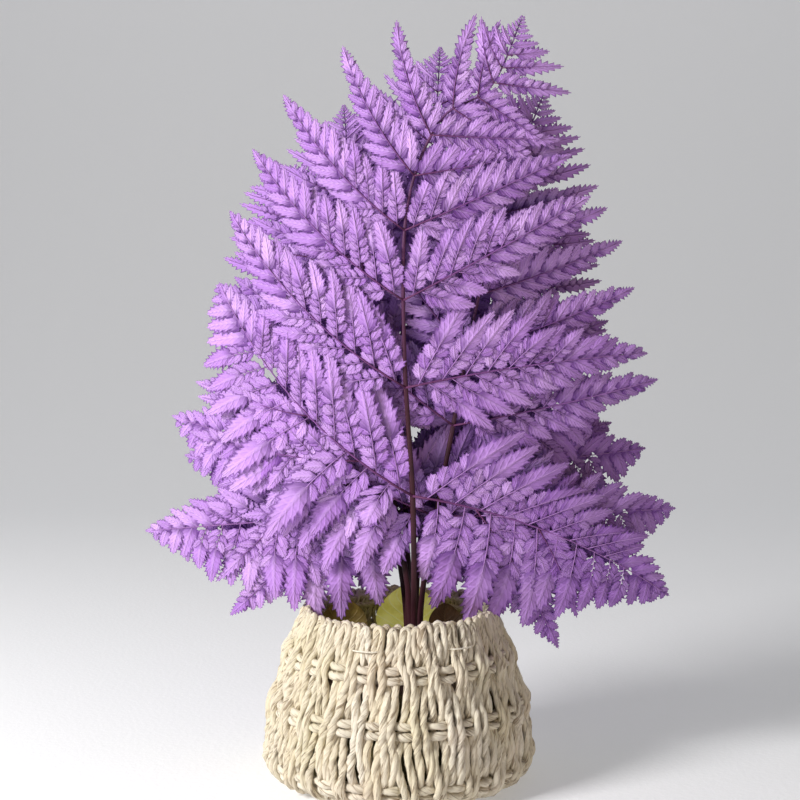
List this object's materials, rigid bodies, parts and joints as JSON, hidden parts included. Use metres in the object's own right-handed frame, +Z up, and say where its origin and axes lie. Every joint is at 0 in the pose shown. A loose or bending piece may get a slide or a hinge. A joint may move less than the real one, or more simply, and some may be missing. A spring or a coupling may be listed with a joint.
{
  "type": "dried fern bunch",
  "caption": "Bunch of lilac dried leatherleaf fern, lacy triangular fronds on dark stems, standing in dry foam in a round belly basket woven from cream husk cord.",
  "frame": {"origin": "centre of the basket's flat base, on the surface it stands on", "axes": "+Z up along the basket's axis, -Y towards the side that the fronds face, +X to the right as seen from that side"},
  "size_m": [0.368, 0.1995, 0.528],
  "materials": {
    "husk_cord": "matte",
    "husk_cord_inner": "matte",
    "rim_thread": "matte",
    "dry_foam": "matte",
    "lilac_leaf": "matte",
    "maroon_stem": "satin",
    "olive_leaf": "matte"
  },
  "bodies": {
    "root": {"basket_base": "husk_cord_inner", "basket_wall": "husk_cord_inner", "weft_band_lower": "husk_cord", "weft_band_middle": "husk_cord", "weft_band_upper": "husk_cord", "rim_border": "husk_cord", "rim_thread": "rim_thread", "foam_block": "dry_foam", "frond_1_stem": "maroon_stem", "frond_1_blade": "lilac_leaf", "frond_2_stem": "maroon_stem", "frond_2_blade": "lilac_leaf", "frond_3_stem": "maroon_stem", "frond_3_blade": "lilac_leaf", "frond_4_stem": "maroon_stem", "frond_4_blade": "lilac_leaf", "frond_5_stem": "maroon_stem", "frond_5_blade": "lilac_leaf", "frond_6_stem": "maroon_stem", "frond_6_blade": "lilac_leaf", "frond_7_stem": "maroon_stem", "frond_7_blade": "lilac_leaf", "mouth_leaf_back": "olive_leaf", "mouth_leaf_left": "olive_leaf", "mouth_leaf_right": "olive_leaf"}
  },
  "joints": []
}
